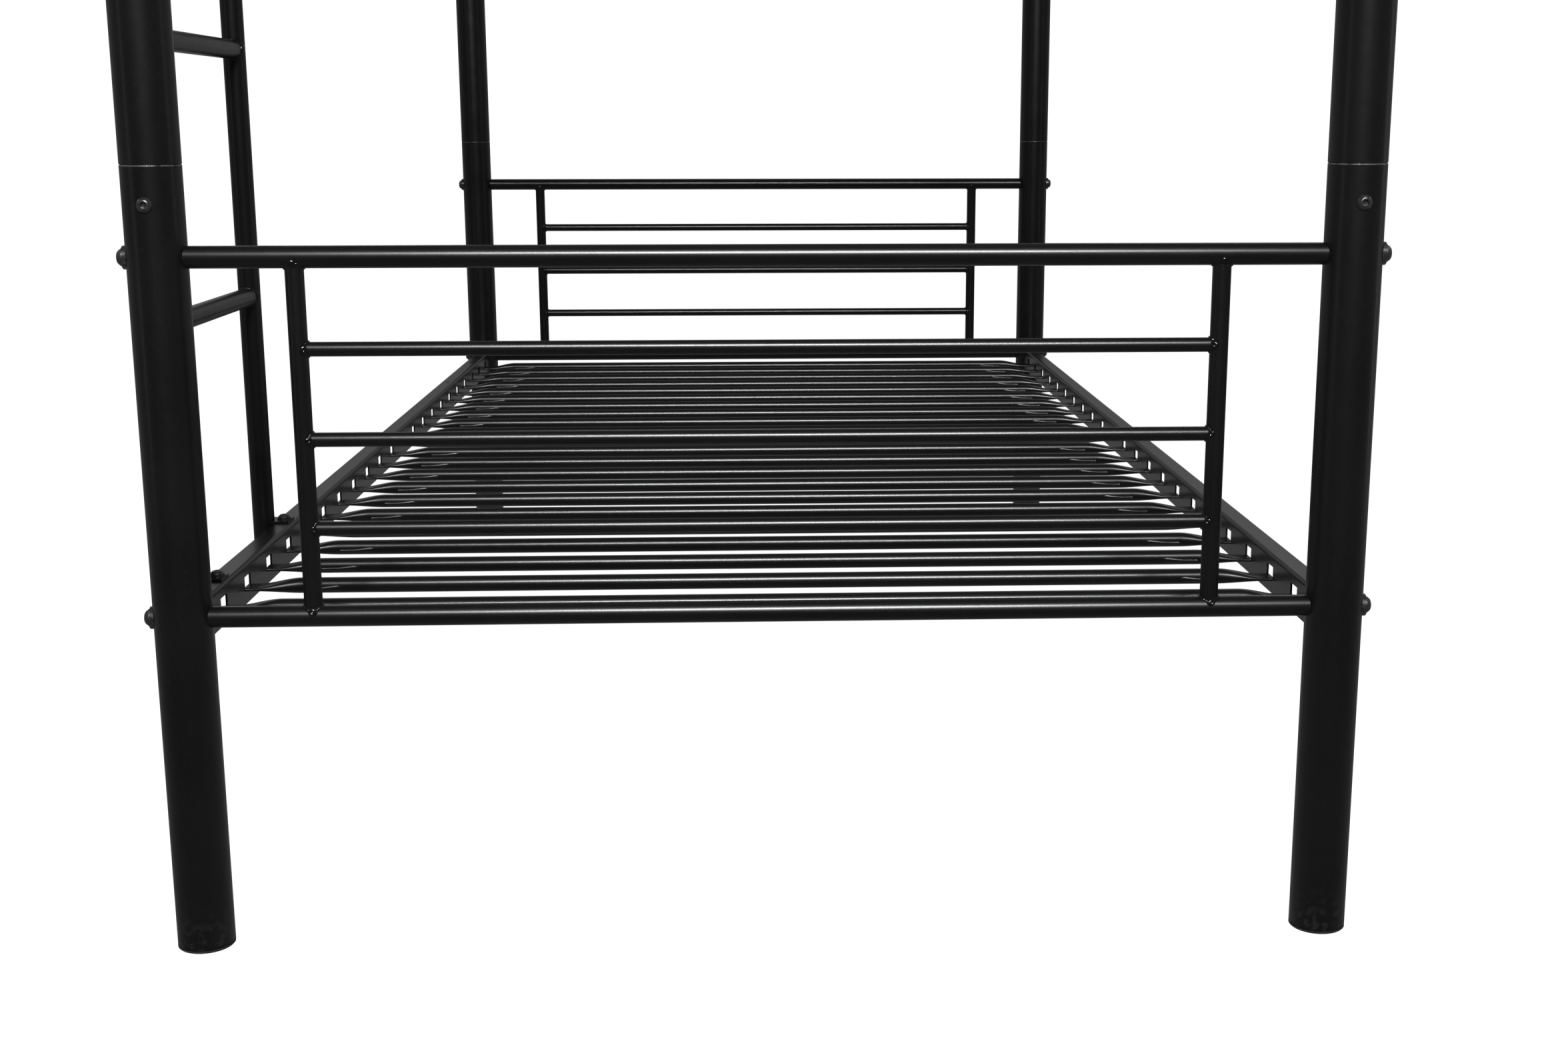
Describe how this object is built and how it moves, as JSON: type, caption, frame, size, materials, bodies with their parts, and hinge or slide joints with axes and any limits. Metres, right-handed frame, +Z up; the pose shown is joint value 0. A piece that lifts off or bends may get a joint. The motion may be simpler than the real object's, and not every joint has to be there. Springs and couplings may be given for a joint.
{
  "type": "bunk bed",
  "caption": "Twin-over-twin bunk bed of black powder-coated steel tube: round two-piece posts, barred end panels, slotted angle side rails, tube slats, guard rails and a bolted side ladder.",
  "frame": {"origin": "on the floor, below the centre of the bed", "axes": "+Z up, +Y along the bed from the foot end (ladder end) to the head end, +X across the bed to the right, away from the ladder"},
  "size_m": [1.075, 2.005, 1.65],
  "materials": {
    "powder_coat": "satin black powder coat with fine orange peel",
    "plastic": "moulded black plastic, slightly matt",
    "hardware": "black oxide steel bolts, nuts and washers"
  },
  "bodies": {
    "root": {"post_lower_foot_left": "powder_coat", "post_lower_foot_right": "powder_coat", "post_lower_head_left": "powder_coat", "post_lower_head_right": "powder_coat", "post_upper_foot_left": "powder_coat", "post_upper_foot_right": "powder_coat", "post_upper_head_left": "powder_coat", "post_upper_head_right": "powder_coat", "sleeve_foot_left": "powder_coat", "sleeve_foot_right": "powder_coat", "sleeve_head_left": "powder_coat", "sleeve_head_right": "powder_coat", "foot_plugs": "plastic", "post_caps": "plastic", "panel_lower_foot_rails": "powder_coat", "panel_lower_foot_uprights": "powder_coat", "panel_lower_foot_bars": "powder_coat", "panel_lower_head_rails": "powder_coat", "panel_lower_head_uprights": "powder_coat", "panel_lower_head_bars": "powder_coat", "panel_upper_foot_rails": "powder_coat", "panel_upper_foot_uprights": "powder_coat", "panel_upper_foot_bars": "powder_coat", "panel_upper_head_rails": "powder_coat", "panel_upper_head_uprights": "powder_coat", "panel_upper_head_bars": "powder_coat", "panel_welds": "powder_coat", "side_rail_lower_left": "powder_coat", "side_rail_lower_right": "powder_coat", "side_rail_upper_left": "powder_coat", "side_rail_upper_right": "powder_coat", "rail_hooks": "powder_coat", "slats_lower": "powder_coat", "slats_upper": "powder_coat", "ladder_stile_near": "powder_coat", "ladder_stile_far": "powder_coat", "ladder_rungs": "powder_coat", "ladder_tabs": "powder_coat", "ladder_stile_caps": "plastic", "ladder_welds": "powder_coat", "ladder_bolts": "hardware", "ladder_washers": "hardware", "ladder_nuts": "hardware", "guard_left_frame": "powder_coat", "guard_left_uprights": "powder_coat", "guard_left_bars": "powder_coat", "guard_right_rail": "powder_coat", "guard_right_uprights": "powder_coat", "guard_right_bars": "powder_coat", "guard_feet": "powder_coat", "guard_foot_bolts": "hardware", "guard_foot_nuts": "hardware", "frame_bolts": "hardware", "saddle_washers": "hardware", "rail_inserts": "hardware", "joint_bolts": "hardware"}
  },
  "joints": []
}
